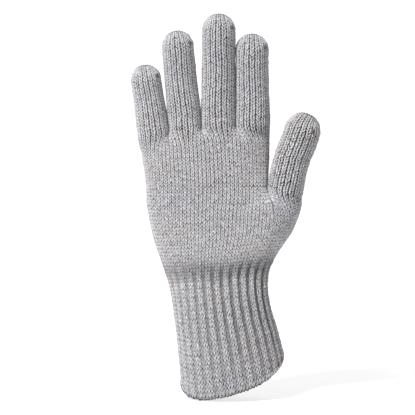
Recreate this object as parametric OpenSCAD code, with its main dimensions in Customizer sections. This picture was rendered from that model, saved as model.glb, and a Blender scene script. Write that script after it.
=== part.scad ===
// A right-hand knitted glove standing fingers up, palm towards -Y, thumb towards +X.
// The origin is the middle of the cuff's mouth. Each knitted tube is a thin-walled hollow shell.

/* [Knitting] */
// Thickness of the knitted wall
wall = 2.5; // [2:0.1:3]
// Flat gap between two knitted pieces that turn against each other
slip = 0.15; // [0.1:0.05:0.3]

/* [Palm] */
// Distance of the palm's middle plane from the mouth's centre, towards the palm side
palm_y = -6; // [-8:0.5:-3]
// Half of the palm's thickness where the fingers begin
knuckle_depth = 12.8; // [12:0.2:15]
// Height where the four-finger palm is knitted onto the five-finger palm
thumb_line = 129; // [126:0.5:131]

/* [Fingers] */
// Outer radius of the little finger's tube
little_radius = 10.4; // [9.6:0.1:10.5]
// Length of the little finger from its crotch
little_length = 49.5; // [47:0.5:54]
// Outer radius of the ring finger's tube
ring_radius = 10.8; // [10:0.1:10.9]
// Length of the ring finger from its crotch
ring_length = 69; // [66:0.5:74]
// Outer radius of the middle finger's tube
middle_radius = 11.2; // [10.4:0.1:11.3]
// Length of the middle finger from its crotch
middle_length = 78; // [74:0.5:84]
// Outer radius of the index finger's tube
index_radius = 11.2; // [10.4:0.1:11.6]
// Length of the index finger from its crotch
index_length = 65; // [62:0.5:70]
// Forward lean of a resting finger below its middle knuckle, in degrees
finger_curl = 4; // [0:1:6]
// Forward lean of a resting finger above its middle knuckle, in degrees
fingertip_curl = 14; // [4:1:16]
// Furthest bend of a finger at its base, in degrees
base_bend = 65; // [45:1:65]
// Furthest bend of a finger at its middle knuckle, in degrees
middle_bend = 70; // [45:1:70]

/* [Thumb] */
// Outer radius of the thumb's tube
thumb_radius = 12.4; // [11:0.1:12.8]
// Length of the thumb from its crotch
thumb_length = 58; // [55:0.5:62]
// Sideways lean of the thumb, in degrees
thumb_lean = 19; // [16:1:22]
// Furthest bend of the thumb at its base, in degrees
thumb_base_bend = 45; // [30:1:45]
// Furthest bend of the thumb at its knuckle, in degrees
thumb_tip_bend = 60; // [40:1:60]

/* [Cuff] */
// Height of the cuff's top, where the wrist begins to bend
cuff_top = 57.3; // [54:0.1:58]
// Rise of the mouth towards the thumb side, as a slope
mouth_slope_x = 0.28; // [0:0.01:0.35]
// Rise of the mouth towards the back of the hand, as a slope
mouth_slope_y = 0.45; // [0:0.01:0.5]
// Height of the cast-off edge along the cuff
edge_height = 5; // [3:0.5:8]

/* [Hidden] */

wool = [0.62, 0.62, 0.63];
wool_rib = [0.57, 0.57, 0.58];
wool_knuckle = [0.68, 0.68, 0.69];
wool_dark = [0.33, 0.33, 0.35];

// Against the height along the cuff and palm: the centre in X, the half width, the half depth
// and the centre in Y.
centre_table = [[0, 0], [22, -2.4], [43, -7], [60, -9.5], [68, -10.8], [78, -10.5], [97, -7.5], [114, -5.4]];
width_table = [[0, 37.5], [22, 36.6], [43, 35], [60, 34.6], [68, 36], [78, 39.5], [97, 48.5], [114, 53]];
depth_table = [[0, 29], [22, 27.5], [43, 24.5], [60, 22.6], [68, 22.4], [78, 22], [97, 21], [114, 19.6]];
lean_table = [[0, 0], [60, palm_y], [200, palm_y]];

wrist_gap = 20.2;
palm_start = cuff_top + wrist_gap;
palm_steps = [palm_start, 84, 90.5, 97, 105, 114];
section_points = 48;
fold_margin = 0.3;

// A digit: crotch centre in X, Y and Z, sideways lean, twist of the bending plane,
// radius, length, height of the middle knuckle, the two resting leans and the two furthest bends.
little = [[-53.7, palm_y, 166], -8.1, 0, little_radius, little_length, 27,
    finger_curl, fingertip_curl, base_bend, middle_bend];
ring = [[-32, palm_y, 170.4], -5.4, 0, ring_radius, ring_length, 33,
    finger_curl, fingertip_curl, base_bend, middle_bend];
middle = [[-9.45, palm_y, 173.2], 0, 0, middle_radius, middle_length, 36,
    finger_curl, fingertip_curl, base_bend, middle_bend];
index = [[14.6, palm_y, 172.5], 0, 0, index_radius, index_length, 32,
    finger_curl, fingertip_curl, base_bend, middle_bend];
thumb = [[36.5, palm_y - 9, 126.5], thumb_lean, -20, thumb_radius, thumb_length, 31,
    8, 14, thumb_base_bend, thumb_tip_bend];
FINGERS = [little, ring, middle, index];

function crotch(d) = d[0];
function lean(d) = d[1];
function twist(d) = d[2];
function radius(d) = d[3];
function reach(d) = d[4];
function knuckle(d) = d[5];
function low_curl(d) = d[6];
function tip_curl(d) = d[7];
// Length of cloth that each side of a fold needs, so that the firm sleeves never meet.
function base_fold(d) = radius(d) * tan((d[8] + low_curl(d)) / 2) + fold_margin;
function middle_fold(d) = radius(d) * tan((d[9] + tip_curl(d) - low_curl(d)) / 2) + fold_margin;

// A rounded-square outline of half sizes a and b.
function outline(a, b, power = 2.3) = [
    for (i = [0:section_points - 1])
        let (t = 360 * i / section_points, c = cos(t), s = sin(t))
            [a * sign(c) * pow(abs(c), 2 / power), b * sign(s) * pow(abs(s), 2 / power)]
];

// One ring of the cuff at a height: it lies level at the cuff's top and along the mouth's slope at 0.
function cuff_ring(h, inset) =
    let (slope = max(0, 1 - h / cuff_top), xc = lookup(h, centre_table), yc = lookup(h, lean_table))
    [for (p = outline(lookup(h, width_table) - inset, lookup(h, depth_table) - inset))
        [xc + p[0], yc + p[1], h + slope * (mouth_slope_x * p[0] + mouth_slope_y * p[1])]];

// Triangles of the band between ring a and ring b of a stack of rings with n points each.
function band(a, b, n, flip) = [
    for (i = [0:n - 1])
        let (j = (i + 1) % n, p = a * n + i, q = a * n + j, r = b * n + j, s = b * n + i)
            each flip ? [[p, q, r], [p, r, s]] : [[p, r, q], [p, s, r]]
];

// A tube of cloth between two heights of the cuff.
module cuff_tube(low, high, steps, outset = 0) {
    heights = [for (k = [0:steps]) low + (high - low) * k / steps];
    points = concat(
        [for (h = heights) each cuff_ring(h, -outset)],
        [for (h = heights) each cuff_ring(h, wall)]
    );
    n = section_points;
    m = steps + 1;
    faces = concat(
        [for (k = [0:steps - 1]) each band(k, k + 1, n, false)],
        [for (k = [0:steps - 1]) each band(m + k, m + k + 1, n, true)],
        band(0, m, n, true),
        band(steps, m + steps, n, false)
    );
    polyhedron(points = points, faces = faces, convexity = 6);
}

// A thin slab of the palm's outline at a height, used as one step of a hull.
module palm_slab(h, inset, thick = 0.02) {
    translate([lookup(h, centre_table), palm_y, h])
        linear_extrude(thick)
            polygon(outline(lookup(h, width_table) - inset, lookup(h, depth_table) - inset));
}

// The four-finger palm's outline at the thumb line: from the little finger's side to the index side.
module thumb_line_slab(h, inset, thick = 0.02) {
    translate([-17.8, palm_y, h])
        linear_extrude(thick)
            polygon(outline(42.2 - inset, 17.4 - inset));
}

module at_crotch(d) {
    translate(crotch(d)) rotate([0, lean(d), 0]) rotate([0, 0, twist(d)]) children();
}

module at_lower(d) {
    at_crotch(d) rotate([low_curl(d), 0, 0]) children();
}

module at_knuckle(d) {
    at_lower(d) translate([0, 0, knuckle(d)]) rotate([tip_curl(d) - low_curl(d), 0, 0]) children();
}

module disc(r, z) {
    translate([0, 0, z]) cylinder(r = r, h = 0.02, $fn = 32);
}

// ---- cuff ----

module cuff_edge() {
    color(wool_rib) cuff_tube(0, edge_height, 2, 0.5);
}

module cuff_rib() {
    color(wool_rib) cuff_tube(edge_height, cuff_top, 7);
}

// Elastic yarn laid round the inside of the ribbing.
module cuff_elastic() {
    yarn_r = 0.5;
    sides = 6;
    heights = [14, 24, 34, 44];
    color(wool_dark)
        for (h = heights) {
            points = [
                for (s = [0:sides - 1])
                    let (a = 360 * s / sides)
                        each [for (p = cuff_ring(h, wall + 0.8 - yarn_r * cos(a))) p + [0, 0, yarn_r * sin(a)]]
            ];
            faces = [for (s = [0:sides - 1]) each band(s, (s + 1) % sides, section_points, false)];
            polyhedron(points = points, faces = faces, convexity = 4);
        }
}

module wrist_rib() {
    color(wool_knuckle) cuff_tube(cuff_top + slip, palm_start - slip, 4);
}

// ---- palm ----

module lower_palm_form(inset) {
    for (k = [1:len(palm_steps) - 1])
        hull() {
            palm_slab(palm_steps[k - 1], inset);
            palm_slab(palm_steps[k], inset);
        }
    hull() {
        palm_slab(palm_steps[len(palm_steps) - 1], inset);
        thumb_line_slab(thumb_line - 0.02 - inset, inset);
        at_crotch(thumb) disc(radius(thumb) - inset, -0.02 - inset);
    }
}

module lower_palm() {
    color(wool)
        difference() {
            lower_palm_form(0);
            lower_palm_form(wall);
            palm_slab(palm_start - 1, wall, wall + 2);
            thumb_line_slab(thumb_line - wall - 4, wall, wall + 6);
            translate([-90, -60, thumb_line]) cube([90 + 25.2, 120, 20]);
            at_crotch(thumb) cylinder(r = radius(thumb) + 2, h = 20);
            at_crotch(thumb) translate([0, 0, -8]) cylinder(r = radius(thumb) - wall, h = 12);
            thumb_stitch_rod(0.05);
        }
}

module upper_palm_form(inset) {
    hull() {
        thumb_line_slab(thumb_line, inset, 0.2);
        translate([-19.2, palm_y, 152])
            linear_extrude(0.2) polygon(outline(44.2 - inset, 15.2 - inset));
        for (f = FINGERS)
            at_crotch(f) opening_disc(f, inset);
    }
}

// A finger's opening in the palm, as deep as the palm is there.
module opening_disc(f, inset) {
    translate([0, 0, 0.4 - 1.2 * inset])
        linear_extrude(0.2)
            polygon([for (i = [0:35]) [(radius(f) - inset) * cos(10 * i), (knuckle_depth - inset) * sin(10 * i)]]);
}

// A straight round passage along a finger, from z = low to z = high.
module passage(r, low, high) {
    hull() {
        translate([0, 0, low]) cylinder(r = r, h = 0.2, $fn = 36);
        translate([0, 0, high - 0.2]) cylinder(r = r, h = 0.2, $fn = 36);
    }
}

module upper_palm() {
    color(wool)
        difference() {
            upper_palm_form(0);
            upper_palm_form(wall);
            thumb_line_slab(thumb_line - 1, wall, wall + 2);
            for (f = FINGERS)
                at_crotch(f) {
                    passage(knuckle_depth + 2, 0, 20);
                    passage(radius(f) - wall - 0.25, -8, 4);
                }
            for (k = [0:2])
                stitch_rod(FINGERS[k], FINGERS[k + 1], 0.05);
        }
}

// Whipped closing stitches that lie in the web between two fingers, from palm to back.
module stitch_rod(a, b, play = 0) {
    right = crotch(a) + radius(a) * [cos(lean(a)), 0, -sin(lean(a))];
    left = crotch(b) - radius(b) * [cos(lean(b)), 0, -sin(lean(b))];
    spot = (right + left) / 2;
    translate([spot[0], palm_y, min(right[2], left[2]) - 1.6])
        rotate([90, 0, 0]) cylinder(r = 0.9 + play, h = 14 + 2 * play, center = true, $fn = 24);
}

module thumb_stitch_rod(play = 0) {
    translate([23.6, palm_y, thumb_line - 1.3])
        rotate([90, 0, 0]) cylinder(r = 0.9 + play, h = 10 + 2 * play, center = true, $fn = 24);
}

module crotch_stitch_little_ring() {
    color(wool_dark) stitch_rod(little, ring);
}

module crotch_stitch_ring_middle() {
    color(wool_dark) stitch_rod(ring, middle);
}

module crotch_stitch_middle_index() {
    color(wool_dark) stitch_rod(middle, index);
}

module crotch_stitch_thumb() {
    color(wool_dark) thumb_stitch_rod();
}

// ---- digits ----

// Soft stretch of the tube that folds where the digit bends at its base.
module base_knuckle(d) {
    end = 2 * base_fold(d) - slip;
    color(wool_knuckle)
        difference() {
            hull() {
                at_crotch(d) disc(radius(d), slip);
                at_lower(d) disc(radius(d), end);
            }
            hull() {
                at_crotch(d) disc(radius(d) - wall, slip - 1);
                at_lower(d) disc(radius(d) - wall, end + 1);
            }
        }
}

module lower_sleeve(d) {
    low = 2 * base_fold(d);
    high = knuckle(d) - middle_fold(d);
    color(wool)
        at_lower(d)
            difference() {
                translate([0, 0, low]) cylinder(r = radius(d), h = high - low, $fn = 64);
                translate([0, 0, low - 1]) cylinder(r = radius(d) - wall, h = high - low + 2, $fn = 64);
            }
}

// Soft stretch of the tube that folds where the digit bends at its middle knuckle.
module middle_knuckle(d) {
    low = -middle_fold(d) + slip;
    high = middle_fold(d) - slip;
    color(wool_knuckle)
        difference() {
            hull() {
                at_lower(d) disc(radius(d), knuckle(d) + low);
                at_knuckle(d) disc(radius(d), high);
            }
            hull() {
                at_lower(d) disc(radius(d) - wall, knuckle(d) + low - 1);
                at_knuckle(d) disc(radius(d) - wall, high + 1);
            }
        }
}

// Half outline of a round-ended tube from z = low to z = high, for turning about Z.
module thimble_outline(r, low, high) {
    intersection() {
        union() {
            translate([0, low]) square([r, high - r - low]);
            translate([0, high - r]) circle(r = r, $fn = 96);
        }
        translate([0, low]) square([r, high - low]);
    }
}

// Where the last loops of a fingertip are drawn together, on the dome's thumb side.
module closure_spot(d) {
    at_knuckle(d)
        translate([0, 0, reach(d) - knuckle(d) - radius(d)])
            rotate([0, 72, -35])
                translate([0, 0, radius(d) - 0.9])
                    children();
}

module tip_sleeve(d) {
    low = middle_fold(d);
    high = reach(d) - knuckle(d);
    color(wool)
        difference() {
            at_knuckle(d)
                rotate_extrude($fn = 96)
                    difference() {
                        thimble_outline(radius(d), low, high);
                        thimble_outline(radius(d) - wall, low - 1, high - wall);
                    }
            closure_spot(d) sphere(r = 1.75, $fn = 32);
        }
}

module tip_closure(d) {
    color(wool_dark) closure_spot(d) sphere(r = 1.6, $fn = 32);
}

module little_base_knuckle() { base_knuckle(little); }
module little_lower_sleeve() { lower_sleeve(little); }
module little_middle_knuckle() { middle_knuckle(little); }
module little_tip_sleeve() { tip_sleeve(little); }
module little_tip_closure() { tip_closure(little); }
module ring_base_knuckle() { base_knuckle(ring); }
module ring_lower_sleeve() { lower_sleeve(ring); }
module ring_middle_knuckle() { middle_knuckle(ring); }
module ring_tip_sleeve() { tip_sleeve(ring); }
module ring_tip_closure() { tip_closure(ring); }
module middle_base_knuckle() { base_knuckle(middle); }
module middle_lower_sleeve() { lower_sleeve(middle); }
module middle_middle_knuckle() { middle_knuckle(middle); }
module middle_tip_sleeve() { tip_sleeve(middle); }
module middle_tip_closure() { tip_closure(middle); }
module index_base_knuckle() { base_knuckle(index); }
module index_lower_sleeve() { lower_sleeve(index); }
module index_middle_knuckle() { middle_knuckle(index); }
module index_tip_sleeve() { tip_sleeve(index); }
module index_tip_closure() { tip_closure(index); }
module thumb_base_knuckle() { base_knuckle(thumb); }
module thumb_lower_sleeve() { lower_sleeve(thumb); }
module thumb_middle_knuckle() { middle_knuckle(thumb); }
module thumb_tip_sleeve() { tip_sleeve(thumb); }
module thumb_tip_closure() { tip_closure(thumb); }

cuff_edge();
cuff_rib();
cuff_elastic();
wrist_rib();
lower_palm();
upper_palm();
crotch_stitch_little_ring();
crotch_stitch_ring_middle();
crotch_stitch_middle_index();
crotch_stitch_thumb();
little_base_knuckle();
little_lower_sleeve();
little_middle_knuckle();
little_tip_sleeve();
little_tip_closure();
ring_base_knuckle();
ring_lower_sleeve();
ring_middle_knuckle();
ring_tip_sleeve();
ring_tip_closure();
middle_base_knuckle();
middle_lower_sleeve();
middle_middle_knuckle();
middle_tip_sleeve();
middle_tip_closure();
index_base_knuckle();
index_lower_sleeve();
index_middle_knuckle();
index_tip_sleeve();
index_tip_closure();
thumb_base_knuckle();
thumb_lower_sleeve();
thumb_middle_knuckle();
thumb_tip_sleeve();
thumb_tip_closure();
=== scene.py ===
"""A right-hand knitted glove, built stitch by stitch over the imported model's frame.

Every knitted piece is one mesh of real yarn: each course is a closed ring of interlocked loops, laid over a
smooth skin that the functions below describe in millimetres. Wales run on unbroken from cuff to fingertips.
"""
import math

import bpy
import numpy as np
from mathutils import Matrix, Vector


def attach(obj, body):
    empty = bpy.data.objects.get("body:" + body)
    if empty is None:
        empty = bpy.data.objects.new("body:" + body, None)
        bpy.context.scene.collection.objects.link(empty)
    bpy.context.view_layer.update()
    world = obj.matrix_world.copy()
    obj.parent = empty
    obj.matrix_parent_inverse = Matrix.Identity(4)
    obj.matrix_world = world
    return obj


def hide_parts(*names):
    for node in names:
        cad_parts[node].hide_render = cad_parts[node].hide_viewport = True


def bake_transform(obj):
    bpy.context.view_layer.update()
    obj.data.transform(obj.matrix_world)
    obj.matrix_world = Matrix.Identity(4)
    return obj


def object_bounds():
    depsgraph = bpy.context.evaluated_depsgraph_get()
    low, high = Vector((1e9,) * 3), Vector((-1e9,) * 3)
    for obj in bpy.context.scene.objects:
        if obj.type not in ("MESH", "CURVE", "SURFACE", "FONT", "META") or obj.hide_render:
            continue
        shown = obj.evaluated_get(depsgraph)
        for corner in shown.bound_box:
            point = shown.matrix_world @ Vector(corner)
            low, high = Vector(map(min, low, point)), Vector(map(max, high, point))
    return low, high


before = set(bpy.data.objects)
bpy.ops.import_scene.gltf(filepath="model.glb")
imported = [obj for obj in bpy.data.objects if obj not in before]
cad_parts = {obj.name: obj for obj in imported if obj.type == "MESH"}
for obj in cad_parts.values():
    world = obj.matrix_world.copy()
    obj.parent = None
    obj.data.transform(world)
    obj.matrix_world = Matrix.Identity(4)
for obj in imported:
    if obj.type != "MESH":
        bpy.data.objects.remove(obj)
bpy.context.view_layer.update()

MM = 0.001
RNG = np.random.default_rng(515)

# ---------------------------------------------------------------- the glove's sizes, in millimetres

YARN_R = 0.48            # radius of the wool yarn in the palm and cuff
DIGIT_YARN_R = 0.55      # and in the fingers, whose stitches are larger
LOOP_DEPTH = 0.62        # how far a loop's legs stand out in front of the fabric, and its head behind
BACKING_DEPTH = -0.85    # where the sheet behind the loops lies, its near-black colour painted shade in the gaps
PALM_Y = -6.0            # the palm's middle plane
FINGER_WALES = 9         # wales on one face of a finger
THUMB_WALES = 9          # wales on one face of the thumb
PALM_FACE = 4 * FINGER_WALES            # wales on one face of the four-finger palm
HAND_FACE = PALM_FACE + THUMB_WALES     # wales on one face of the five-finger palm and cuff
RIB_REPEAT = 3           # two knit wales and one purl wale
CUFF_COURSE = 2.5        # height of one course of the cuff
PALM_COURSE = 2.3        # of the palm
DIGIT_COURSE = 2.12      # and of the fingers and thumb
WHIP_PITCH = 1.0         # between the whipped stitches of a crotch
CUFF_TOP = 57.3          # the wrist begins to bend here
RIB_TOP = 67.0           # the ribbing ends here
LINING_DEPTH = -1.7      # where the cuff's inner face lies
ELASTIC_DEPTH = -2.9     # and the elastic yarn on it
ELASTIC_HEIGHTS = (14, 24, 34, 44)      # of its four rounds above the mouth
THUMB_LINE = 129.0       # the four-finger palm is joined on here
OUTLINE_POWER = 2.3      # 2 would make the hand's cross-section an ellipse, more squares it

# Against height: the hand's left and right edge, half its depth and the middle of its depth.
HEIGHTS = [-6, 0, 22, 43, 57, 68, 78, 97, 114, 129, 140]
LEFT = [-34.8, -34.9, -37.1, -39.7, -41.9, -44.7, -48.1, -54.7, -58.1, -59.2, -59.4]
RIGHT = [35.4, 35.2, 30.6, 25.4, 24, 25.3, 30, 41, 45.4, 48.2, 49.5]
DEPTH = [29.4, 29, 27.4, 24.6, 22.8, 22.2, 21.8, 20.8, 19.4, 17.4, 16.8]
MIDDLE = [0.4, 0, -2.2, -4.3, -5.6, -6, -6, -6, -6, -6, -6]
# The four-finger palm, from the thumb line to the finger crotches.
PALM_HEIGHTS = [120, 129, 145, 164, 180]
PALM_LEFT = [-58.8, -59.2, -61.2, -63.6, -64.4]
PALM_RIGHT = [23.8, 24, 24.8, 25.2, 25.4]
PALM_DEPTH = [18, 17.4, 15.6, 13.4, 12.6]


class Digit:
    """One finger or the thumb: a bent tube from its crotch to its round end."""

    def __init__(self, name, crotch, lean, twist, radius, base_half, length, knuckle, low_curl, tip_curl,
                 wales, split, base_y=0.0, bow=0.0, swell=1.4):
        self.name, self.radius, self.base_half, self.length = name, radius, base_half, length
        self.wales, self.split, self.base_y, self.knuckle = wales, split, base_y, knuckle
        self.bow, self.swell = bow, swell
        turn = rotation("y", lean) @ rotation("z", twist)
        self.across, self.back, self.up = turn[:, 0], turn[:, 1], turn[:, 2]
        step = 0.25
        s = np.arange(-12, length + 6, step)
        curl = np.radians(low_curl) * smooth(s / 8) + np.radians(tip_curl - low_curl) * smooth(
            (s - knuckle + 8) / 16)
        along = np.cos(curl)[:, None] * self.up - np.sin(curl)[:, None] * self.back
        start = np.searchsorted(s, 0)
        line = np.cumsum(along, axis=0) * step
        self.s, self.curl = s, curl
        self.line = line - line[start] + np.array(crotch, float)
        self.crotch = np.array(crotch, float)

    def place(self, s):
        """Centre line, depth direction and length direction at distance s from the crotch."""
        curl = np.interp(s, self.s, self.curl)
        centre = np.stack([np.interp(s, self.s, self.line[:, k]) for k in range(3)], -1)
        depth = np.cos(curl)[..., None] * self.back + np.sin(curl)[..., None] * self.up
        along = np.cos(curl)[..., None] * self.up - np.sin(curl)[..., None] * self.back
        return centre, depth, along

    def skin(self, u, s):
        """A point on the tube, u wales round from its left edge and s millimetres along."""
        theta = math.pi + 2 * math.pi * u / (2 * self.wales)
        tube = self.length - self.radius
        straight = np.minimum(s, tube)
        over = np.clip((s - tube) / (self.radius * math.pi / 2), 0, 1.05) * math.pi / 2
        settle = smooth(straight / 9)
        half = self.base_half + (self.radius - self.base_half) * smooth(straight / (0.75 * tube))
        deep = self.radius + self.swell * (1 - settle)
        theta = theta + settle * 0.03 * np.sin(straight * 0.13 + self.length * 1.7 + np.sin(theta))
        ripple = 1 + 0.008 * np.sin(straight * 0.24 + self.length + 2 * theta)
        pull = 1 - 0.27 * np.sin(over) ** 2
        x = half * ripple * pull * np.cos(theta) + self.bow * np.sin(math.pi * straight / tube) ** 2
        y = deep * ripple * np.cos(over) * np.sin(theta) + self.base_y * (1 - smooth((straight + 2) / 12))
        rise = 1 - (pull * np.cos(theta)) ** 2 - (np.cos(over) * np.sin(theta)) ** 2
        z = self.radius * np.sqrt(np.clip(rise, 0, 1)) * (over > 0)
        centre, depth, along = self.place(straight)
        return centre + x[..., None] * self.across + y[..., None] * depth + z[..., None] * along


def rotation(axis, degrees):
    """The matrix that turns a point about the x, y or z axis."""
    c, s = math.cos(math.radians(degrees)), math.sin(math.radians(degrees))
    return np.array({"x": [[1, 0, 0], [0, c, -s], [0, s, c]],
                     "y": [[c, 0, s], [0, 1, 0], [-s, 0, c]],
                     "z": [[c, -s, 0], [s, c, 0], [0, 0, 1]]}[axis])


def smooth(t):
    """0 below 0, 1 above 1, and a soft step between."""
    t = np.clip(t, 0, 1)
    return t * t * (3 - 2 * t)


def curve_through(x, xs, ys):
    """A smooth curve through the points (xs, ys), read at x."""
    xs, ys = np.array(xs, float), np.array(ys, float)
    slope = np.gradient(ys, xs)
    i = np.clip(np.searchsorted(xs, x) - 1, 0, len(xs) - 2)
    h = xs[i + 1] - xs[i]
    t = np.clip((x - xs[i]) / h, 0, 1)
    return ((1 + 2 * t) * (1 - t) ** 2 * ys[i] + t * (1 - t) ** 2 * h * slope[i]
            + t * t * (3 - 2 * t) * ys[i + 1] - t * t * (1 - t) * h * slope[i + 1])


LITTLE = Digit("little", (-54.6, PALM_Y, 166.0), -8.1, 0, 9.6, 10.6, 48, 27, 4, 14, FINGER_WALES, 17)
RING = Digit("ring", (-32.6, PALM_Y, 170.6), -5.4, 0, 10.2, 11.0, 67.2, 33, 4, 14, FINGER_WALES, 21)
MIDDLE_FINGER = Digit("middle", (-9.4, PALM_Y, 173.2), 0, 0, 10.7, 11.5, 76.2, 36, 4, 14, FINGER_WALES, 23)
INDEX = Digit("index", (14.1, PALM_Y, 172.5), -0.4, 0, 10.6, 11.5, 62.9, 32, 4, 14, FINGER_WALES, 21)
THUMB = Digit("thumb", (35.6, -15.0, 126.5), 20.2, -20, 11.7, 11.9, 56, 31, 8, 14, THUMB_WALES, 18,
              3.0, -1.4, 0.3)
FINGERS = [LITTLE, RING, MIDDLE_FINGER, INDEX]

# ---------------------------------------------------------------- the hand's skin


def rounded(angle):
    """The unit outline at an angle: a circle drawn out towards a rounded rectangle."""
    c, s = np.cos(angle), np.sin(angle)
    return np.sign(c) * np.abs(c) ** (2 / OUTLINE_POWER), np.sign(s) * np.abs(s) ** (2 / OUTLINE_POWER)


def even_angle(share, flatness):
    """The angle at which that share of the oval's length is passed, starting left and going by the front."""
    levels = np.linspace(0.2, 1.0, 9)
    angle = np.linspace(math.pi, 3 * math.pi, 721)
    x, y = rounded(angle)
    tables = []
    for level in levels:
        length = np.concatenate([[0], np.cumsum(np.hypot(np.diff(x), np.diff(level * y)))])
        tables.append(length / length[-1])
    tables = np.array(tables)
    grid = np.linspace(0, 1, 721)
    inverse = np.array([np.interp(grid, row, angle) for row in tables])
    place = np.clip((flatness - levels[0]) / (levels[1] - levels[0]), 0, len(levels) - 1.001)
    low = place.astype(int)
    mix = place - low
    spot = np.clip(share, 0, 1) * 720
    i = np.minimum(spot.astype(int), 719)
    f = spot - i

    def read(level):
        return inverse[level, i] * (1 - f) + inverse[level, i + 1] * f

    return read(low) * (1 - mix) + read(low + 1) * mix


def ball_of_thumb(x, z):
    """How far the palm's thumb side leans towards the front."""
    swell = curve_through(z, [60, 76, 97, 114, 127, 140, 152], [0, 0, -3.2, -6.6, -8, -2.5, 0])
    return swell * smooth((x - 2) / 32)


CREASES = [
    # (x, z) at the two ends, depth and width of each soft fold across the palm, in millimetres
    ((24, 129), (6, 112), 1.1, 3.0),
    ((-6, 99), (28, 84), 1.0, 4.0),
    ((-58, 150), (-22, 143), 0.45, 4.5),
    ((-44, 97), (-20, 88), 0.5, 4.0),
    ((24, 139), (-4, 158), 1.4, 5.0),
]


def folds(x, z):
    """Depth of the soft folds and the slack of the cloth at a point of the palm."""
    depth = np.zeros_like(x)
    for (x0, z0), (x1, z1), deep, wide in CREASES:
        dx, dz = x1 - x0, z1 - z0
        length = math.hypot(dx, dz)
        along = ((x - x0) * dx + (z - z0) * dz) / length
        away = ((x - x0) * dz - (z - z0) * dx) / length + 1.5 * np.sin(along * 0.12)
        ends = smooth((along + 4) / 10) * smooth((length + 4 - along) / 10)
        depth += deep * np.exp(-(away / wide) ** 2) * ends
    slack = 0.35 * np.sin(x * 0.13 + z * 0.1) * np.sin(z * 0.12 - x * 0.07 + 1.0)
    # The palm bulges out over the wrist.
    pinch = 3.0 * np.exp(-((z - 66 - 2.5 * np.sin(x * 0.11)) / 11.0) ** 2)
    return depth + slack + pinch


def pulled_in(oy, x, z):
    """The folds' shift inwards. It fades towards the side edges, so that front and back never cross there."""
    return -oy / np.sqrt(np.abs(oy) + 0.1) * folds(x, z)


def cuff_slope(h):
    """How the courses rise across the cuff towards the thumb side, and towards the back, as slopes."""
    across = curve_through(h, [-6, 0, 57, 75, 115, 140], [0.29, 0.28, 0.1, 0.08, 0.0, 0.0])
    back = 0.45 * np.clip(1 - h / CUFF_TOP, 0, 1.2)
    return across, back


def hand_oval(u, h):
    """The cuff and five-finger palm as one plain rounded tube: u wales round, at course height h."""
    left, right = curve_through(h, HEIGHTS, LEFT), curve_through(h, HEIGHTS, RIGHT)
    deep = curve_through(h, HEIGHTS, DEPTH)
    half = (right - left) / 2
    angle = even_angle(u / (2 * HAND_FACE), deep / half)
    ox, oy = rounded(angle)
    x = (left + right) / 2 + half * ox
    y = deep * oy
    across, back = cuff_slope(h)
    z = h + across * (half * ox) + back * y
    inward = pulled_in(oy, x, z) * smooth((z - 42) / 16)
    return x, curve_through(h, HEIGHTS, MIDDLE) + ball_of_thumb(x, z) + y + inward, z


def palm_oval(u, z):
    """The four-finger palm as one plain rounded tube: u wales round, at height z."""
    left, right = curve_through(z, PALM_HEIGHTS, PALM_LEFT), curve_through(z, PALM_HEIGHTS, PALM_RIGHT)
    deep = curve_through(z, PALM_HEIGHTS, PALM_DEPTH)
    half = (right - left) / 2
    angle = even_angle(u / (2 * PALM_FACE), deep / half)
    ox, oy = rounded(angle)
    x = (left + right) / 2 + half * ox
    inward = pulled_in(oy, x, z)
    return x, PALM_Y + ball_of_thumb(x, z) + deep * oy + inward, z


def finger_line(u):
    """Where wale u of the four-finger palm meets the bottom of its finger."""
    face = 2 * PALM_FACE
    u = np.mod(u, face)
    front = u <= PALM_FACE
    place = np.where(front, u, face - u) / FINGER_WALES
    which = np.clip(place.astype(int), 0, 3)
    inside = (place - which) * FINGER_WALES
    at = np.where(front, inside, 2 * FINGER_WALES - inside)
    point = np.zeros(u.shape + (3,))
    for k, digit in enumerate(FINGERS):
        chosen = which == k
        point[chosen] = digit.skin(at[chosen], np.zeros(chosen.sum()))
    return point


def upper_palm_skin(u, v):
    """The four-finger palm: u wales round, v from 0 at the thumb line to 1 at the crotches."""
    goal = finger_line(u)
    z = THUMB_LINE + (goal[..., 2] - THUMB_LINE) * v
    x, y, _ = palm_oval(np.mod(u, 2 * PALM_FACE), z)
    below = goal[..., 2] - z
    drawn = 1 - smooth(below / 13)
    pinched = 1 - smooth(below / 10)
    return np.stack([x + (goal[..., 0] - x) * drawn, y + (goal[..., 1] - y) * pinched, z], -1)


def thumb_line_point(u):
    """Where wale u of the five-finger palm meets the four-finger palm or the thumb."""
    total = 2 * HAND_FACE
    u = np.mod(u, total)
    point = np.zeros(u.shape + (3,))
    thumb = (u > PALM_FACE) & (u < PALM_FACE + 2 * THUMB_WALES)
    palm_u = np.where(u > PALM_FACE, u - 2 * THUMB_WALES, u)
    rest = ~thumb
    point[rest] = upper_palm_skin(palm_u[rest], np.zeros(rest.sum()))
    point[thumb] = THUMB.skin(u[thumb] - PALM_FACE, np.zeros(thumb.sum()))
    return point


def hand_skin(u, h):
    """The cuff and five-finger palm: u wales round, at course height h up to the thumb line."""
    u = np.mod(u, 2 * HAND_FACE)
    goal = thumb_line_point(u)
    share = smooth((h - 90) / (THUMB_LINE - 90))
    x, y, z = hand_oval(u, h)
    # The courses above the ball of the thumb spread out until the last one lies along the thumb line.
    z = z + (goal[..., 2] - THUMB_LINE) * share
    below = np.maximum(THUMB_LINE - h, 0)
    drawn = 1 - smooth(below / 22)
    pinched = 1 - smooth(below / 11)
    return np.stack([x + (goal[..., 0] - x) * drawn, y + (goal[..., 1] - y) * pinched, z], -1)


# ---------------------------------------------------------------- knitting


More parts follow.
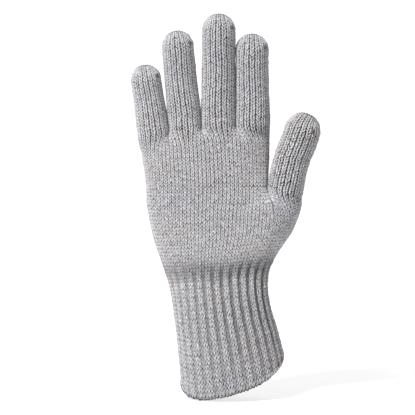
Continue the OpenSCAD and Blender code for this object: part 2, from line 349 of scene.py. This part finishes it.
def loop_points(steps):
    """One loop of plain knitting for t in 0..1: across in wales, along in courses, and outwards, -1 to 1."""
    t = 2 * math.pi * (np.arange(steps) + 0.5) / steps
    across = t / (2 * math.pi) + 0.262 * np.sin(2 * t) - 0.03 * np.sin(t)
    along = 1.1 * np.cos(t)
    outwards = -np.cos(2 * t)
    return across, along, outwards


def purl_share(u):
    """1 in the middle of a recessed purl wale of the ribbing, falling to 0 in the knit wales beside it."""
    phase = np.mod(u - 1.0, RIB_REPEAT) - RIB_REPEAT / 2
    return (0.5 + 0.5 * np.cos(2 * math.pi * phase / RIB_REPEAT)) ** 1.5


class Knit:
    """Gathers the yarn of one knitted piece into a single mesh."""

    def __init__(self, name, skin, wales, steps=12, sides=5, radius=YARN_R):
        self.name, self.skin, self.wales, self.steps, self.sides = name, skin, wales, steps, sides
        self.radius = radius
        self.rings, self.painted_shadings = [], []

    def point(self, u, v, out):
        """The skin's point at (u, v), moved outwards, and the outward direction there."""
        here = self.skin(u, v)
        du = self.skin(u + 0.08, v) - self.skin(u - 0.08, v)
        dv = self.skin(u, v + self.reach) - self.skin(u, v - self.reach)
        normal = np.cross(du, dv)
        normal /= np.maximum(np.linalg.norm(normal, axis=-1, keepdims=True), 1e-9)
        return here + normal * out[..., None], normal

    def course(self, v, pitch, rib=0.0, reach=0.02, extra_painted_shade=1.0):
        """One round of loops at v, its neighbours pitch away along v. rib is the depth of the purl wales.
        extra_painted_shade scales the course's painted shading, darker below 1.
        """
        self.reach = reach
        across, along, outwards = loop_points(self.steps)
        wale = np.repeat(np.arange(self.wales), self.steps)
        slack = RNG.standard_normal((3, self.wales))
        u = wale + np.tile(across, self.wales) - 0.5 + 0.03 * slack[0][wale]
        v_all = v + pitch * (np.tile(along, self.wales) + 0.06 * slack[1][wale])
        loop = np.tile(outwards, self.wales)
        sunk = 0.0
        # Painted shade: the yarn is coloured darker where the loop lies back in the fabric, lighter at its
        # front.
        painted_shading = smooth((loop + 0.6) / 1.4)
        if np.any(rib):
            depth = np.broadcast_to(rib, (self.wales,))[wale]
            purl = purl_share(u)
            loop = loop * (1 - 0.5 * purl * np.minimum(depth, 1))
            sunk = depth * (0.4 - 1.4 * purl)
            # Painted shade: the recessed purl wales are coloured an even mid-dark.
            painted_shading += (0.64 - painted_shading) * purl * np.minimum(depth, 1)
        out = LOOP_DEPTH * (loop + 0.16 * slack[2][wale]) + sunk
        self.painted_shadings.append(extra_painted_shade * painted_shading)
        centre, normal = self.point(u, v_all, out)
        tangent = np.roll(centre, -1, 0) - np.roll(centre, 1, 0)
        tangent /= np.maximum(np.linalg.norm(tangent, axis=1, keepdims=True), 1e-9)
        side = np.cross(tangent, normal)
        side /= np.maximum(np.linalg.norm(side, axis=1, keepdims=True), 1e-9)
        up = np.cross(side, tangent)
        thick = self.radius * (1 + 0.07 * np.sin(np.arange(len(u)) * 0.37 + v * 9)
                                      + 0.07 * RNG.standard_normal(self.wales)[wale])
        angle = 2 * math.pi * np.arange(self.sides) / self.sides
        ring = (centre[:, None] + thick[:, None, None] * (np.cos(angle)[None, :, None] * side[:, None]
                                                          + np.sin(angle)[None, :, None] * up[:, None]))
        self.rings.append(ring)

    def build(self, material, backing=None, backing_material=None):
        """Makes the mesh: a closed tube for each course, and the sheet of painted shade between the loops."""
        count = self.wales * self.steps
        sides = self.sides
        verts = np.concatenate([r.reshape(-1, 3) for r in self.rings])
        i = np.arange(count)
        j = (i + 1) % count
        quads, uvs = [], []
        for row in range(len(self.rings)):
            base = row * count * sides
            for k in range(sides):
                m = (k + 1) % sides
                quads.append(np.stack([base + i * sides + k, base + i * sides + m,
                                       base + j * sides + m, base + j * sides + k], 1))
                low = (row + 0.06 + 0.88 * k / sides) / len(self.rings)
                high = (row + 0.06 + 0.88 * (k + 1) / sides) / len(self.rings)
                u0, u1 = i / count, (i + 1) / count
                uvs.append(np.stack([u0, np.full(count, low), u0, np.full(count, high),
                                     u1, np.full(count, high), u1, np.full(count, low)], 1))
        quads = np.concatenate(quads)
        uvs = np.concatenate(uvs).reshape(-1, 2) * np.array([1.0, 0.86])
        slots = np.zeros(len(quads), int)
        if backing is not None:
            bv, bq, buv = backing
            quads = np.concatenate([quads, bq + len(verts)])
            verts = np.concatenate([verts, bv])
            uvs = np.concatenate([uvs, buv * np.array([1.0, 0.12]) + np.array([0, 0.87])])
            slots = np.concatenate([slots, np.ones(len(bq), int)])
        materials = [material] if backing is None else [material, backing_material]
        piece = mesh_piece(self.name, verts, quads, materials)
        piece.data.polygons.foreach_set("material_index", slots.astype(np.int32))
        painted_shadings = np.ones(len(verts))
        yarn = np.repeat(np.concatenate(self.painted_shadings), sides)
        painted_shadings[:len(yarn)] = yarn
        set_painted_shading(piece, painted_shadings)
        layer = piece.data.uv_layers.new(name="OFBake")
        layer.data.foreach_set("uv", np.clip(uvs, 0, 1).astype(np.float32).ravel())
        return piece


def mesh_piece(name, verts, faces, materials):
    """A smooth-shaded mesh object from points in millimetres and quads or triangles as an array."""
    mesh = bpy.data.meshes.new(name)
    mesh.vertices.add(len(verts))
    mesh.vertices.foreach_set("co", (np.asarray(verts) * MM).astype(np.float32).ravel())
    sides = faces.shape[1]
    mesh.loops.add(faces.size)
    mesh.loops.foreach_set("vertex_index", faces.astype(np.int32).ravel())
    mesh.polygons.add(len(faces))
    mesh.polygons.foreach_set("loop_start", np.arange(0, faces.size, sides, dtype=np.int32))
    mesh.polygons.foreach_set("use_smooth", np.ones(len(faces), bool))
    mesh.update(calc_edges=True)
    mesh.validate()
    for material in materials:
        mesh.materials.append(material)
    piece = bpy.data.objects.new(name, mesh)
    bpy.context.scene.collection.objects.link(piece)
    return piece


def set_painted_shading(piece, values):
    """Stores how far each point of the yarn stands out of the fabric, 0 to 1. It drives painted shade: the
    wool is coloured darker below, where the yarn lies back.
    """
    layer = piece.data.attributes.new("painted_shading", "FLOAT", "POINT")
    layer.data.foreach_set("value", np.asarray(values, np.float32))


def backing_sheet(knit, low, high, rows, out, reach, rib=None, fine=2, bumps=0.0):
    """A sheet just inside the skin from v = low to v = high; behind the loops it shows through the gaps,
    where its material paints their shade.
    """
    columns = knit.wales * fine
    knit.reach = reach
    u = np.arange(columns) / fine
    v = np.linspace(low, high, rows)
    grid_u, grid_v = np.meshgrid(u, v)
    depth = np.full(grid_u.size, out)
    if rib is not None:
        purl = purl_share(grid_u.ravel())
        depth = depth + np.broadcast_to(rib, (rows, columns)).ravel() * (0.4 - 1.4 * purl)
    stitches = np.sin(math.pi * grid_u.ravel()) * np.sin(math.pi * grid_v.ravel() / CUFF_COURSE)
    depth = depth - bumps * np.abs(stitches)
    points, _ = knit.point(grid_u.ravel(), grid_v.ravel(), depth)
    i, j = np.meshgrid(np.arange(columns), np.arange(rows - 1))
    i, j = i.ravel(), j.ravel()
    n = (i + 1) % columns
    quads = np.stack([j * columns + i, j * columns + n, (j + 1) * columns + n, (j + 1) * columns + i], 1)
    u0, u1, v0, v1 = i / columns, (i + 1) / columns, j / (rows - 1), (j + 1) / (rows - 1)
    uv = np.stack([u0, v0, u1, v0, u1, v1, u0, v1], 1).reshape(-1, 2)
    return points, quads, uv


def yarn_tube(name, path, radius, material, closed=False, sides=6):
    """A length of yarn along points in millimetres, its ends closed to a point unless it is a ring."""
    path = np.asarray(path, float)
    if closed:
        tangent = np.roll(path, -1, 0) - np.roll(path, 1, 0)
    else:
        tangent = np.gradient(path, axis=0)
    tangent /= np.linalg.norm(tangent, axis=1, keepdims=True)
    away = path - path.mean(0)
    side = np.cross(tangent, away)
    weak = np.linalg.norm(side, axis=1) < 1e-3
    side[weak] = np.cross(tangent[weak], [0.3, 0.9, 0.1])
    side /= np.linalg.norm(side, axis=1, keepdims=True)
    up = np.cross(side, tangent)
    angle = 2 * math.pi * np.arange(sides) / sides
    thick = np.full(len(path), radius)
    if not closed:
        thick[[0, -1]] *= 0.15
    thick = thick[:, None, None]
    rings = path[:, None] + thick * (np.cos(angle)[None, :, None] * side[:, None]
                                     + np.sin(angle)[None, :, None] * up[:, None])
    count = len(path)
    i, k = np.meshgrid(np.arange(count if closed else count - 1), np.arange(sides), indexing="ij")
    i, k = i.ravel(), k.ravel()
    j, m = (i + 1) % count, (k + 1) % sides
    quads = np.stack([i * sides + k, i * sides + m, j * sides + m, j * sides + k], 1)
    piece = mesh_piece(name, rings.reshape(-1, 3), quads, [material])
    set_painted_shading(piece, np.full(len(piece.data.vertices), 0.8))
    return piece


# ---------------------------------------------------------------- materials


def node_material(name):
    material = bpy.data.materials.new(name)
    material.use_nodes = True
    nodes, links = material.node_tree.nodes, material.node_tree.links
    nodes.clear()
    output = nodes.new("ShaderNodeOutputMaterial")
    shader = nodes.new("ShaderNodeBsdfPrincipled")
    links.new(shader.outputs["BSDF"], output.inputs["Surface"])
    return material, nodes, links, shader


def noise(nodes, links, where, scale, detail=3.0, roughness=0.6, stretch=None):
    """A noise texture in object space, its scale in cycles a metre."""
    texture = nodes.new("ShaderNodeTexNoise")
    texture.inputs["Scale"].default_value = scale
    texture.inputs["Detail"].default_value = detail
    texture.inputs["Roughness"].default_value = roughness
    if stretch:
        mapping = nodes.new("ShaderNodeMapping")
        mapping.inputs["Scale"].default_value = stretch
        links.new(where, mapping.inputs["Vector"])
        where = mapping.outputs["Vector"]
    links.new(where, texture.inputs["Vector"])
    return texture.outputs["Fac"]


def ramp(nodes, links, value, stops):
    """A colour ramp with (position, (r, g, b)) stops."""
    node = nodes.new("ShaderNodeValToRGB")
    while len(node.color_ramp.elements) < len(stops):
        node.color_ramp.elements.new(0.5)
    for element, (place, colour) in zip(node.color_ramp.elements, stops):
        element.position = place
        element.color = (*colour, 1.0)
    links.new(value, node.inputs["Fac"])
    return node.outputs["Color"]


def mix(nodes, links, a, b, factor, blend="MIX"):
    """Colour b laid over colour a."""
    node = nodes.new("ShaderNodeMix")
    node.data_type = "RGBA"
    node.blend_type = blend
    links.new(a, node.inputs[6])
    links.new(b, node.inputs[7])
    node.inputs[0].default_value = factor
    return node.outputs[2]


def wool(name, light=1.0):
    """Heather grey wool: pale and dark fibres mixed along the yarn, faint patches of colour, fibre bump, and
    painted shade read from the yarn's painted_shading attribute.
    """
    material, nodes, links, shader = node_material(name)
    place = nodes.new("ShaderNodeTexCoord").outputs["Object"]
    marl = ramp(nodes, links, noise(nodes, links, place, 800, 3.0, 0.62), [
        (0.26, tuple(light * c for c in (0.17, 0.17, 0.176))),
        (0.42, tuple(light * c for c in (0.33, 0.33, 0.336))),
        (0.56, tuple(light * c for c in (0.42, 0.42, 0.425))),
        (0.72, tuple(light * c for c in (0.62, 0.62, 0.62)))])
    fibre = ramp(nodes, links, noise(nodes, links, place, 2600, 2.0, 0.6, (1.0, 1.0, 0.45)), [
        (0.30, (0.62, 0.62, 0.63)), (0.52, (0.95, 0.95, 0.95)), (0.72, (1.0, 1.0, 1.0))])
    patch = ramp(nodes, links, noise(nodes, links, place, 38, 2.0, 0.5), [
        (0.30, (0.96, 0.96, 1.0)), (0.50, (0.99, 0.98, 1.0)), (0.72, (1.0, 0.955, 0.95))])
    painted_shading = nodes.new("ShaderNodeAttribute")
    painted_shading.attribute_name = "painted_shading"
    # Painted shade: near black where the yarn lies back in the fabric, a little over full colour at the
    # loops' fronts.
    shade = ramp(nodes, links, painted_shading.outputs["Fac"], [(0.0, (0.03, 0.03, 0.033)), (0.55, (0.26, 0.26, 0.27)),
                                                       (1.0, (1.05, 1.05, 1.05))])
    colour = mix(nodes, links, marl, fibre, 0.75, "MULTIPLY")
    colour = mix(nodes, links, colour, patch, 1.0, "MULTIPLY")
    colour = mix(nodes, links, colour, shade, 1.0, "MULTIPLY")
    links.new(colour, shader.inputs["Base Color"])
    shader.inputs["Roughness"].default_value = 0.92
    shader.inputs["Specular IOR Level"].default_value = 0.18
    shader.inputs["Sheen Weight"].default_value = 0.04
    shader.inputs["Sheen Roughness"].default_value = 0.55
    shader.inputs["Sheen Tint"].default_value = (0.9, 0.9, 0.92, 1.0)
    bump = nodes.new("ShaderNodeBump")
    bump.inputs["Strength"].default_value = 0.6
    bump.inputs["Distance"].default_value = 0.00025
    links.new(noise(nodes, links, place, 3400, 3.0, 0.65, (1.0, 1.0, 0.5)), bump.inputs["Height"])
    links.new(bump.outputs["Normal"], shader.inputs["Normal"])
    return material


def painted_shade_material(name, shade):
    """A near-black sheet standing for the fibres behind the loops: painted shade in the gaps between them."""
    material, nodes, links, shader = node_material(name)
    place = nodes.new("ShaderNodeTexCoord").outputs["Object"]
    colour = ramp(nodes, links, noise(nodes, links, place, 1500, 4.0, 0.7), [
        (0.32, tuple(shade * c for c in (0.5, 0.5, 0.52))),
        (0.62, tuple(shade * c for c in (1.3, 1.3, 1.32)))])
    links.new(colour, shader.inputs["Base Color"])
    shader.inputs["Roughness"].default_value = 1.0
    shader.inputs["Specular IOR Level"].default_value = 0.05
    bump = nodes.new("ShaderNodeBump")
    bump.inputs["Strength"].default_value = 0.5
    bump.inputs["Distance"].default_value = 0.0003
    links.new(noise(nodes, links, place, 2400, 3.0, 0.6), bump.inputs["Height"])
    links.new(bump.outputs["Normal"], shader.inputs["Normal"])
    return material


PLAIN_WOOL = wool("plain_wool")
RIB_WOOL = wool("rib_wool", 1.0)
CLOSING_WOOL = wool("closing_wool", 0.36)
ELASTIC_WOOL = wool("elastic_wool", 0.8)
CROTCH_WOOL = wool("crotch_wool", 0.7)
INSIDE_WOOL = wool("inside_wool", 0.9)
PAINTED_SHADE_BACKING = painted_shade_material("painted_shade_backing", 0.02)

# ---------------------------------------------------------------- the knitted pieces


def finish_piece(piece, nodes):
    """Hides the CAD nodes that the piece stands for."""
    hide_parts(*nodes)
    return piece


def rib_depth(u, h):
    """How deep the purl wales lie: faint in front on the little finger side, clear elsewhere."""
    around = u * math.pi / HAND_FACE
    thumb_side = 0.5 + 0.5 * np.cos(around - math.pi * 0.85)
    behind = 0.8 * smooth(-1.4 * np.sin(around))
    top = 1 - smooth((h - RIB_TOP + 3) / 17)
    return (0.25 + (0.25 + 0.75 * smooth(h / 50)) * np.maximum(thumb_side, behind)) * top


def rib_backing(low, high, rows, columns):
    """The same for a sheet behind the loops, a little shallower."""
    u = np.arange(columns) * 2 * HAND_FACE / columns
    return 0.9 * rib_depth(u, np.linspace(low, high, rows)[:, None])


def cuff_and_palm():
    """The ribbed cuff and the five-finger palm, which share the bend at the wrist."""
    total = 2 * HAND_FACE
    wales = np.arange(total)
    rib = Knit("cuff_ribbing", hand_skin, total)
    heights = np.arange(1.6, RIB_TOP - CUFF_COURSE * 0.4, CUFF_COURSE)
    for h in heights:
        rib.course(h, CUFF_COURSE, rib=rib_depth(wales, h), reach=0.5)
    rows = 34
    low, high = -0.2, heights[-1] + CUFF_COURSE / 2
    sheet = backing_sheet(rib, low, high, rows, BACKING_DEPTH, 0.5, rib_backing(low, high, rows, 2 * total))
    piece = rib.build(RIB_WOOL, sheet, PAINTED_SHADE_BACKING)
    finish_piece(piece, ["cuff_rib", "wrist_rib"])
    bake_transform(piece)

    lining = Knit("cuff_inside", hand_skin, total)
    verts, faces, _ = backing_sheet(lining, 0.2, RIB_TOP - 2, 90, LINING_DEPTH, 0.5, 0.6, 4, 0.6)
    piece = mesh_piece("cuff_inside", verts, faces, [INSIDE_WOOL])
    set_painted_shading(piece, np.full(len(verts), 0.75))
    finish_piece(piece, ["cuff_rib", "wrist_rib"])
    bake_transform(piece)

    palm = Knit("five_finger_palm", hand_skin, total)
    first = heights[-1] + CUFF_COURSE
    count = round((THUMB_LINE - 0.4 - first) / PALM_COURSE)
    pitch = (THUMB_LINE - 0.4 - first) / count
    for k in range(count + 1):
        h = first + k * pitch
        # Painted shade: a darker band of courses at the wrist, below where the palm bulges out.
        extra_painted_shade = 1 - 0.2 * math.exp(-((h - 73) / 7) ** 2)
        palm.course(h, pitch, rib=rib_depth(wales, h), reach=0.5, extra_painted_shade=extra_painted_shade)
    rows = 48
    low, high = first - CUFF_COURSE / 2, THUMB_LINE + 0.5
    sheet = backing_sheet(palm, low, high, rows, BACKING_DEPTH, 0.5, rib_backing(low, high, rows, 2 * total))
    piece = palm.build(PLAIN_WOOL, sheet, PAINTED_SHADE_BACKING)
    finish_piece(piece, ["lower_palm"])
    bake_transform(piece)


def four_finger_palm():
    """The palm above the thumb, from the thumb line to the finger crotches."""
    knit = Knit("four_finger_palm", upper_palm_skin, 2 * PALM_FACE)
    span = MIDDLE_FINGER.crotch[2] - THUMB_LINE
    count = round(span / PALM_COURSE)
    for k in range(1, count + 1):
        knit.course((k - 0.1) / count, 1 / count, reach=0.01)
    sheet = backing_sheet(knit, 0, 1.0, 30, BACKING_DEPTH, 0.01)
    piece = knit.build(PLAIN_WOOL, sheet, PAINTED_SHADE_BACKING)
    finish_piece(piece, ["upper_palm"])
    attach(piece, "palm")


def digit_pieces(digit):
    """A finger or the thumb in two pieces that meet between its two bends."""
    name, radius = digit.name, digit.radius
    total = 2 * digit.wales
    tube = digit.length - radius
    top = tube + radius * math.pi / 2
    count = round(top / DIGIT_COURSE)
    pitch = top / count
    rows = [(k + 0.85) * pitch for k in range(count)]
    split = min(rows, key=lambda s: abs(s - digit.split)) + pitch / 2
    low = [s for s in rows if s < split]
    high = [s for s in rows if s > split and s < top - 0.2 * pitch]

    base = Knit(f"{name}_base", digit.skin, total, radius=DIGIT_YARN_R)
    for s in low:
        base.course(s, pitch, reach=0.4)
    sheet = backing_sheet(base, 0, split, 14, BACKING_DEPTH, 0.4)
    piece = base.build(PLAIN_WOOL, sheet, PAINTED_SHADE_BACKING)
    finish_piece(piece, [f"{name}_base_knuckle", f"{name}_lower_sleeve"])
    start, _, _ = digit.place(np.array(0.0))
    end, _, _ = digit.place(np.array(float(split)))
    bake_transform(piece)

    tip = Knit(f"{name}_tip", digit.skin, total, radius=DIGIT_YARN_R)
    for s in high:
        tip.course(s, pitch, reach=0.4)
    sheet = backing_sheet(tip, split, top, 26, BACKING_DEPTH, 0.4)
    piece = tip.build(PLAIN_WOOL, sheet, PAINTED_SHADE_BACKING)
    finish_piece(piece, [f"{name}_middle_knuckle", f"{name}_tip_sleeve"])
    reach = 2 * digit.knuckle - split
    start, _, _ = digit.place(np.array(float(split)))
    end, _, _ = digit.place(np.array(float(reach)))
    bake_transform(piece)


def fingertip_closing(digit):
    """The little whorl where a fingertip's last loops are drawn together, at the side of its round end."""
    centre, depth, along = digit.place(np.array(digit.length - digit.radius))
    tilt, turn = math.radians(72), math.radians(-35)
    out = (math.sin(tilt) * math.cos(turn) * digit.across + math.sin(tilt) * math.sin(turn) * depth
           + math.cos(tilt) * along)
    e1 = np.cross(out, along)
    e1 /= np.linalg.norm(e1)
    e2 = np.cross(out, e1)
    t = np.linspace(0, 1, 46)
    angle = t * 2 * math.pi * 2.3
    reach = 0.2 + 1.0 * t
    path = (centre + out * (digit.radius + 1.15 - 0.4 * t[:, None] ** 2)
            + e1 * (reach * np.cos(angle))[:, None] + e2 * (reach * np.sin(angle))[:, None])
    piece = yarn_tube(f"{digit.name}_closing", path, 0.5, CLOSING_WOOL)
    finish_piece(piece, [f"{digit.name}_tip_closure"])
    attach(piece, f"{digit.name}_tip")


def fingertip_seam(digit):
    """The yarn that laces the last loops of the palm side and the back together over the fingertip."""
    tube = digit.length - digit.radius
    top = tube + digit.radius * math.pi / 2
    t = np.linspace(0.02, 0.98, 200)
    angle = t * 2 * math.pi * 1.6 * digit.wales
    front = digit.skin(t * digit.wales, np.full(len(t), top - 1.2))
    back = digit.skin(2 * digit.wales - t * digit.wales, np.full(len(t), top - 1.2))
    across = 0.5 + 0.5 * np.sin(angle)
    path = front * (1 - across)[:, None] + back * across[:, None]
    lift = 0.4 + 0.5 * np.cos(angle)
    path = path + lift[:, None] * digit.place(np.array(tube))[2]
    piece = yarn_tube(f"{digit.name}_seam", path, DIGIT_YARN_R, PLAIN_WOOL)
    finish_piece(piece, [f"{digit.name}_tip_sleeve"])
    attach(piece, f"{digit.name}_tip")


def crotch_stitches(name, line):
    """Whipped stitches along the crease between two digits, from the palm side over the web to the back."""
    steps = np.concatenate([[0], np.cumsum(np.linalg.norm(np.diff(line, axis=0), axis=1))])
    at = np.arange(0, steps[-1], 0.14)
    middle = np.stack([np.interp(at, steps, line[:, k]) for k in range(3)], 1)
    angle = 2 * math.pi * at / WHIP_PITCH
    along = np.gradient(middle, axis=0)
    along /= np.linalg.norm(along, axis=1, keepdims=True)
    side = np.cross(along, [1.0, 0.0, 0.0])
    side /= np.linalg.norm(side, axis=1, keepdims=True)
    path = middle + 0.5 * np.sin(angle)[:, None] * side
    path[:, 0] += 0.85 * np.cos(angle)
    piece = yarn_tube(name, path, 0.45, CROTCH_WOOL)
    finish_piece(piece, [name])
    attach(piece, "palm")


def crease_line(skin, front_u, back_u, low, top):
    """The bottom of the crease under a web: up the palm side from v = low to v = top, and down the back."""
    v = np.linspace(low, top, 12)

    def bottom(u):
        return (skin(np.full(len(v), u - 0.02), v) + skin(np.full(len(v), u + 0.02), v)) / 2

    return np.concatenate([bottom(front_u), bottom(back_u)[::-1]])


def cuff_trim():
    """The cast-off edge, whipped over the rim once a wale, and the elastic laid inside the ribbing."""
    skin = Knit("rim", hand_skin, 2 * HAND_FACE)
    skin.reach = 0.5
    turns = 2 * HAND_FACE
    t = np.arange(turns * 12) / 12
    angle = 2 * math.pi * t
    path, _ = skin.point(t, 0.75 + 1.0 * np.sin(angle), 0.15 + 1.05 * np.cos(angle))
    edge = yarn_tube("cast_off_edge", path, 0.6, RIB_WOOL, closed=True)
    finish_piece(edge, ["cuff_edge"])
    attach(edge, "cuff")
    rounds = []
    for h in ELASTIC_HEIGHTS:
        u = np.arange(turns * 3) / 3
        path, _ = skin.point(u, np.full(len(u), float(h)), ELASTIC_DEPTH + 0.25 * np.sin(math.pi * u))
        rounds.append(yarn_tube("elastic_rounds", path, 0.42, ELASTIC_WOOL, closed=True))
    with bpy.context.temp_override(active_object=rounds[0], selected_editable_objects=rounds):
        bpy.ops.object.join()
    rounds[0].name = "elastic_rounds"
    finish_piece(rounds[0], ["cuff_elastic"])
    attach(rounds[0], "cuff")


# ---------------------------------------------------------------- stage, light and camera


def studio():
    """A plain pale floor that curves up into a low wall all round, and soft light from the upper left."""
    white, _, _, shader = node_material("studio_white")
    shader.inputs["Base Color"].default_value = (0.5, 0.5, 0.5, 1.0)
    shader.inputs["Roughness"].default_value = 0.9
    shader.inputs["Emission Color"].default_value = (1.0, 1.0, 1.0, 1.0)
    shader.inputs["Emission Strength"].default_value = 0.66
    floor_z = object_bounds()[0][2] - 0.0004
    rise = np.linspace(0, math.pi / 2, 10)
    corner = [(2.0 + 0.6 * math.sin(a), 0.6 - 0.6 * math.cos(a)) for a in rise]
    profile = [(0.0, 0.0), (1.0, 0.0)] + corner + [(2.6, 0.9)]
    round_steps = 64
    turn = 2 * math.pi * np.arange(round_steps) / round_steps
    verts = [(r * math.cos(a), r * math.sin(a), z + floor_z) for r, z in profile for a in turn]
    k, j = np.meshgrid(np.arange(len(profile) - 1), np.arange(round_steps), indexing="ij")
    k, j, n = k.ravel(), j.ravel(), (j.ravel() + 1) % round_steps
    low, high = k * round_steps, (k + 1) * round_steps
    faces = np.stack([low + j, low + n, high + n, high + j], 1)
    floor = mesh_piece("studio_floor", np.array(verts) / MM, faces, [white])

    world = bpy.data.worlds.new("studio_world")
    world.use_nodes = True
    world.node_tree.nodes["Background"].inputs["Color"].default_value = (1.0, 1.0, 1.0, 1.0)
    world.node_tree.nodes["Background"].inputs["Strength"].default_value = 0.1
    bpy.context.scene.world = world

    def area(name, place, target, size, power):
        light = bpy.data.lights.new(name, "AREA")
        light.shape = "DISK"
        light.size, light.energy = size, power
        lamp = bpy.data.objects.new(name, light)
        lamp.location = place
        aim(lamp, target)
        bpy.context.scene.collection.objects.link(lamp)

    area("key_light", (-0.95, -1.2, 1.65), (0, 0, 0.12), 0.5, 84)
    area("back_light", (0.4, 1.2, 1.2), (0, 0, 0.12), 1.0, 12)
    bpy.context.scene.view_settings.view_transform = "Standard"


def aim(thing, target):
    """Points a light or the camera at target."""
    way = Vector(target) - Vector(thing.location)
    thing.rotation_euler = way.to_track_quat("-Z", "Y").to_euler()


VIEW_SPAN = 290.5        # how much of the middle plane the picture takes in, in millimetres
VIEW_CENTRE = (-17.2, PALM_Y, 114.5)
VIEW_DISTANCE = 1500.0
VIEW_LIFT = 3.0          # degrees above level


def photo_camera():
    camera = bpy.data.cameras.new("photo_camera")
    camera.sensor_width = 36.0
    camera.sensor_fit = "HORIZONTAL"
    camera.lens = 36.0 * VIEW_DISTANCE / VIEW_SPAN
    camera.clip_start, camera.clip_end = 0.05, 20.0
    lift = math.radians(VIEW_LIFT)
    view = bpy.data.objects.new("photo_camera", camera)
    x, y, z = VIEW_CENTRE
    away, above = VIEW_DISTANCE * math.cos(lift), VIEW_DISTANCE * math.sin(lift)
    view.location = (x * MM, (y - away) * MM, (z + above) * MM)
    aim(view, (x * MM, y * MM, z * MM))
    bpy.context.scene.collection.objects.link(view)
    bpy.context.scene.camera = view


# ---------------------------------------------------------------- the making

cuff_and_palm()
four_finger_palm()
for digit in FINGERS + [THUMB]:
    digit_pieces(digit)
    fingertip_seam(digit)
    fingertip_closing(digit)
cuff_trim()
for k, (left, right) in enumerate(zip(FINGERS, FINGERS[1:]), 1):
    crease = crease_line(upper_palm_skin, k * FINGER_WALES, 2 * PALM_FACE - k * FINGER_WALES, 0.76, 1.0)
    crotch_stitches(f"crotch_stitch_{left.name}_{right.name}", crease)
crotch_stitches("crotch_stitch_thumb", crease_line(hand_skin, PALM_FACE, PALM_FACE + 2 * THUMB_WALES,
                                                   THUMB_LINE - 17, THUMB_LINE))
studio()
photo_camera()
